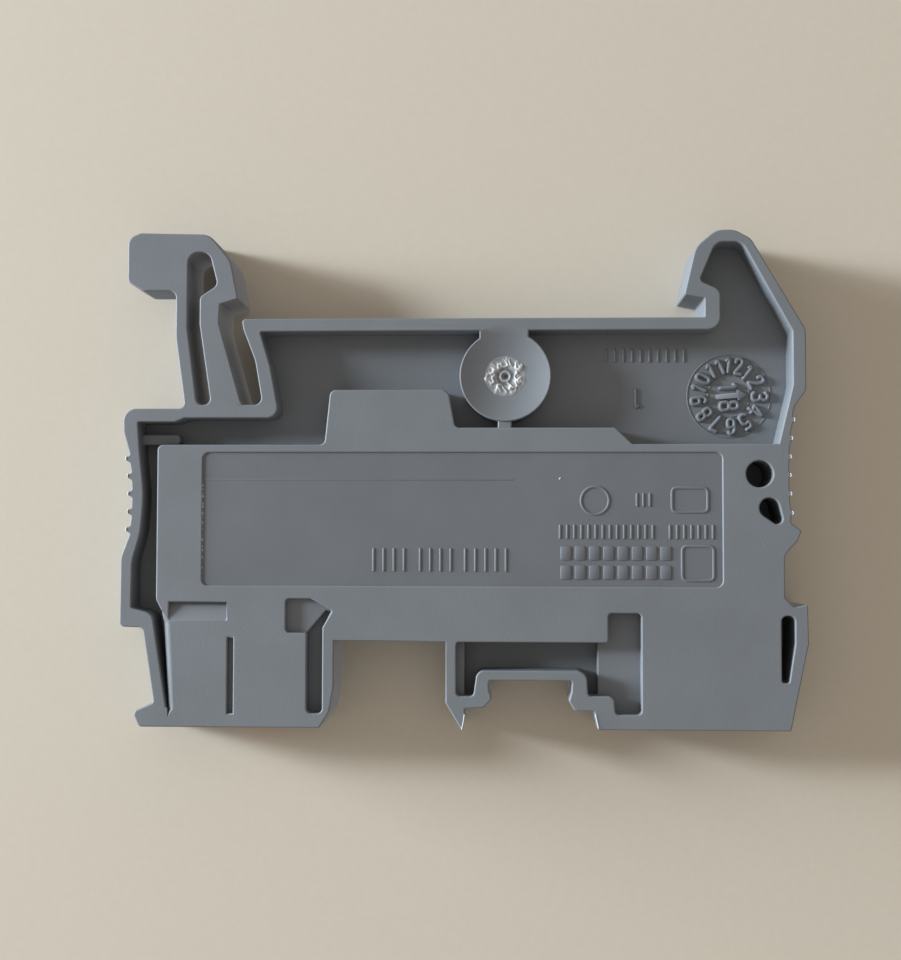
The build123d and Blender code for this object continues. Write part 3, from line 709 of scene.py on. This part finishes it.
def gateScar():
    # polar surface over the dish: a torn crown whose radius and width wander round the circle, a pit
    # inside it and a small ring with a pin mark in the middle; it sinks into the dish at its edge
    radius = np.linspace(0, gate["reach"], gate["rows"])[:, None]
    turn = np.linspace(0, 2 * math.pi, gate["columns"], endpoint=False)[None, :]
    x = gate["x"] + radius * np.cos(turn)
    z = gate["z"] + radius * np.sin(turn)
    crown = gate["crown"] + waves(turn, *gate["crownWander"])
    width = gate["crownWidth"] * (1 + waves(turn, *gate["widthWander"]))
    # torn fibres: ridges where a field summed from plane waves of seeded heading, pitch and phase is near 0
    seeded = np.random.default_rng(gate["seed"])
    heading = seeded.uniform(0, 2 * math.pi, gate["tears"])
    pitch = seeded.uniform(*gate["tearPitch"], gate["tears"])
    phase = seeded.uniform(0, 2 * math.pi, gate["tears"])
    fibres = sum(np.sin(p * (x * math.cos(h) + z * math.sin(h)) + q) / math.sqrt(p)
                 for h, p, q in zip(heading, pitch, phase))
    shreds = np.clip(gate["tearMiddle"] - np.abs(fibres) / gate["tearWidth"], 0, 1)
    torn = bell(radius - crown, width) * (gate["tearBase"] + (1 - gate["tearBase"]) * shreds)
    lobes = np.clip(np.sin(gate["wispCount"] * turn + gate["wispPhase"]), 0, 1) ** gate["wispSharpness"]
    wisps = bell(radius - crown - gate["wispOut"], gate["wispWidth"]) * lobes
    ring = bell(radius - gate["ring"], gate["ringWidth"])
    pin = bell(radius, gate["pin"])
    rise = (gate["lift"] + gate["crownRise"] * torn + gate["wispRise"] * wisps + gate["ringRise"] * ring
            + gate["pinRise"] * pin)
    rise = rise - gate["edgeFall"] * np.maximum(radius - gate["edge"], 0)
    sink = gate["dishRadius"] - np.sqrt(gate["dishRadius"] ** 2 - radius ** 2)
    y = gate["dishFloor"] - sink - rise
    # stress-whitening of crown, wisps and ring, with painted shade taking the pit and, most, the pin mark to
    # near-black
    share = gate["white"]
    white = np.clip(share["base"] + share["torn"] * torn + share["wisps"] * wisps + share["ring"] * ring
                    + share["pin"] * pin + share["shadedPit"] * (radius < gate["shadedPit"]) * (1 - ring), 0, 1)
    return np.stack([x, y, z], axis=-1).reshape(-1, 3), white.ravel()


scarVerts, scarWhiteAndShade = gateScar()
scarFaces = gridFaces(gate["rows"], gate["columns"], wrapColumns=True)
lastRow = (gate["rows"] - 1) * gate["columns"] + np.arange(gate["columns"])
under = np.full(gate["columns"], len(scarVerts))
skirt = np.stack([lastRow, under, np.roll(lastRow, -1)], axis=1)    # closed to a point underneath
scarVerts = np.concatenate([scarVerts, [(gate["x"], gate["dishFloor"] + 0.1, gate["z"])]])
scar = showPiece("gateScar", scarVerts, [scarFaces, skirt], tornGate)
# per point: stress-whitening, less the painted shade of the pit and the pin mark
whiteningAndShade = scar.data.attributes.new("whiteningAndShade", "FLOAT", "POINT")
whiteningAndShade.data.foreach_set("value", np.append(scarWhiteAndShade, gate["white"]["base"]).astype(np.float32))
outward(scar)
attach(scar, "block")
print("gate scar:", len(scar.data.polygons), "faces")


# A pale matt table top under the open side; from behind it is clear, so that the open side shows
table = {"colour": "#cbc4b7", "size": 2.4, "gap": 0.02, "speckleSize": 0.5, "speckle": 0.012}
tableMaterial, tree, shader = startMaterial("laminateMatt", {"Roughness": 0.6, "Specular IOR Level": 0.2})
place = addNode(tree, "ShaderNodeTexCoord").outputs["Object"]
speckle = addNode(tree, "ShaderNodeTexNoise", inputs={
    "Vector": place, "Scale": 1 / (table["speckleSize"] * mm), "Detail": 2.0})
colour = addNode(tree, "ShaderNodeValToRGB", inputs={"Fac": speckle.outputs["Fac"]}, stops=[
    (0.3, shade(table["colour"], 1 - table["speckle"])), (0.7, shade(table["colour"], 1 + table["speckle"]))])
tree.links.new(colour.outputs["Color"], shader.inputs["Base Color"])
clear = addNode(tree, "ShaderNodeBsdfTransparent").outputs["BSDF"]
fromBehind = addNode(tree, "ShaderNodeNewGeometry").outputs["Backfacing"]
mix = addNode(tree, "ShaderNodeMixShader", inputs={0: fromBehind, 1: shader.outputs["BSDF"], 2: clear})
tree.links.new(mix.outputs["Shader"], tree.nodes["Material Output"].inputs["Surface"])
reach = table["size"] / 2 / mm
tableY = openFace + table["gap"]
tableVerts = [(-reach, tableY, -reach), (reach, tableY, -reach), (reach, tableY, reach),
              (-reach, tableY, reach)]
tableTop = showPiece("tableTop", tableVerts, np.array([[0, 1, 2, 3]]), tableMaterial, False)
tableTop.visible_diffuse = False    # the room's light reaches the open side as well
tableTop.visible_glossy = False

# Warm, even light of the room
room = {"colour": (1.0, 0.905, 0.8, 1.0), "strength": 0.49}
world = bpy.context.scene.world or bpy.data.worlds.new("room")
bpy.context.scene.world = world
world.use_nodes = True
background = world.node_tree.nodes["Background"]
background.inputs["Color"].default_value = room["colour"]
background.inputs["Strength"].default_value = room["strength"]

# The key is a low cool window light from the foot's side, in two parts: the sky low down and wide, and a
# smaller bright patch above it. The two lights behind only serve views of the open side. Sizes and
# distances in metres, power in watts
lights = {"middle": (0, 0, 12), "window": (0.865, 0.942, 1.0), "windowFar": 0.62, "windowLean": 13.0,
          "patch": {"elevation": 20.0, "size": 0.093, "power": 3.1},
          "sky": {"elevation": 8.5, "size": 0.235, "power": 7.2}, "behindFar": 0.6,
          "behind": [("openSideLight", (-0.01, 1.0, 0.01), 0.12, 1.6, (1.0, 0.97, 0.93)),
                     ("openSideEdge", (-0.55, 1.0, 0.45), 0.2, 0.5, (0.9, 0.95, 1.0))]}


def areaLight(name, direction, distance, size, power, colour):
    # a round soft light at that distance from the block's middle, facing it: its axes are the direction
    # to it, the cross product of Z with that, and the cross product of the two
    towards = np.array(direction, dtype=float)
    towards /= np.linalg.norm(towards)
    light = bpy.data.lights.new(name, "AREA")
    light.shape = "DISK"
    light.size = size
    light.energy = power
    light.color = colour
    lamp = bpy.data.objects.new(name, light)
    side = np.cross((0, 0, 1), towards)
    side /= np.linalg.norm(side)
    stand = np.eye(4)
    stand[:3, 0], stand[:3, 1], stand[:3, 2] = side, np.cross(towards, side), towards
    stand[:3, 3] = np.array(lights["middle"]) * mm + towards * distance
    lamp.matrix_world = Matrix(stand.tolist())
    lamp.visible_camera = False
    bpy.context.scene.collection.objects.link(lamp)
    return lamp


def fromFoot(elevation):
    # direction to the window: elevation above the table, leant towards the rail
    up, along = math.radians(elevation), math.radians(lights["windowLean"])
    return math.cos(up) * math.cos(along), -math.sin(up), -math.cos(up) * math.sin(along)


for name, part in (("windowLight", lights["patch"]), ("windowSky", lights["sky"])):
    areaLight(name, fromFoot(part["elevation"]), lights["windowFar"], part["size"], part["power"],
              lights["window"])
openSideLights = [areaLight(name, direction, lights["behindFar"], size, power, colour)
                  for name, direction, size, power, colour in lights["behind"]]
blockers = bpy.data.collections.new("openSideBlockers")    # the table doesn't shade these two
blockers.objects.link(tableTop)
for link in blockers.collection_objects:
    link.light_linking.link_state = "EXCLUDE"
for lamp in openSideLights:
    lamp.light_linking.blocker_collection = blockers
    lamp.visible_glossy = False

# Camera above the closed side with the rail side up: place in mm, angles in radians, lens in mm
camera = {"place": (-3.5546, -102.8481, 15.7744), "tilt": -0.042474, "pan": 0.03968, "roll": 0.000615,
          "lens": 53.306, "sensor": 36.0, "nearest": 0.002, "farthest": 10}


def spin(angle, first, second):
    # rotation by the angle in the plane of these two axes
    turned = np.eye(3)
    turned[first, first] = math.cos(angle)
    turned[second, second] = math.cos(angle)
    turned[second, first] = math.sin(angle)
    turned[first, second] = -math.sin(angle)
    return turned


# rows: right, down and forward of the level camera, then turned by tilt, pan and roll
level = np.array([(-1, 0, 0), (0, 0, 1), (0, 1, 0)], dtype=float)
seen = spin(camera["roll"], 0, 1) @ spin(camera["pan"], 2, 0) @ spin(camera["tilt"], 1, 2) @ level
stand = np.eye(4)
stand[:3, 0], stand[:3, 1], stand[:3, 2] = seen[0], -seen[1], -seen[2]
stand[:3, 3] = np.array(camera["place"]) * mm
lens = bpy.data.cameras.new("tableCamera")
lens.lens = camera["lens"]
lens.sensor_width = camera["sensor"]
lens.clip_start = camera["nearest"]
lens.clip_end = camera["farthest"]
viewer = bpy.data.objects.new("tableCamera", lens)
viewer.matrix_world = Matrix(stand.tolist())
bpy.context.scene.collection.objects.link(viewer)
bpy.context.scene.camera = viewer
bpy.context.scene.view_settings.view_transform = "Standard"
print("table, light and camera set")
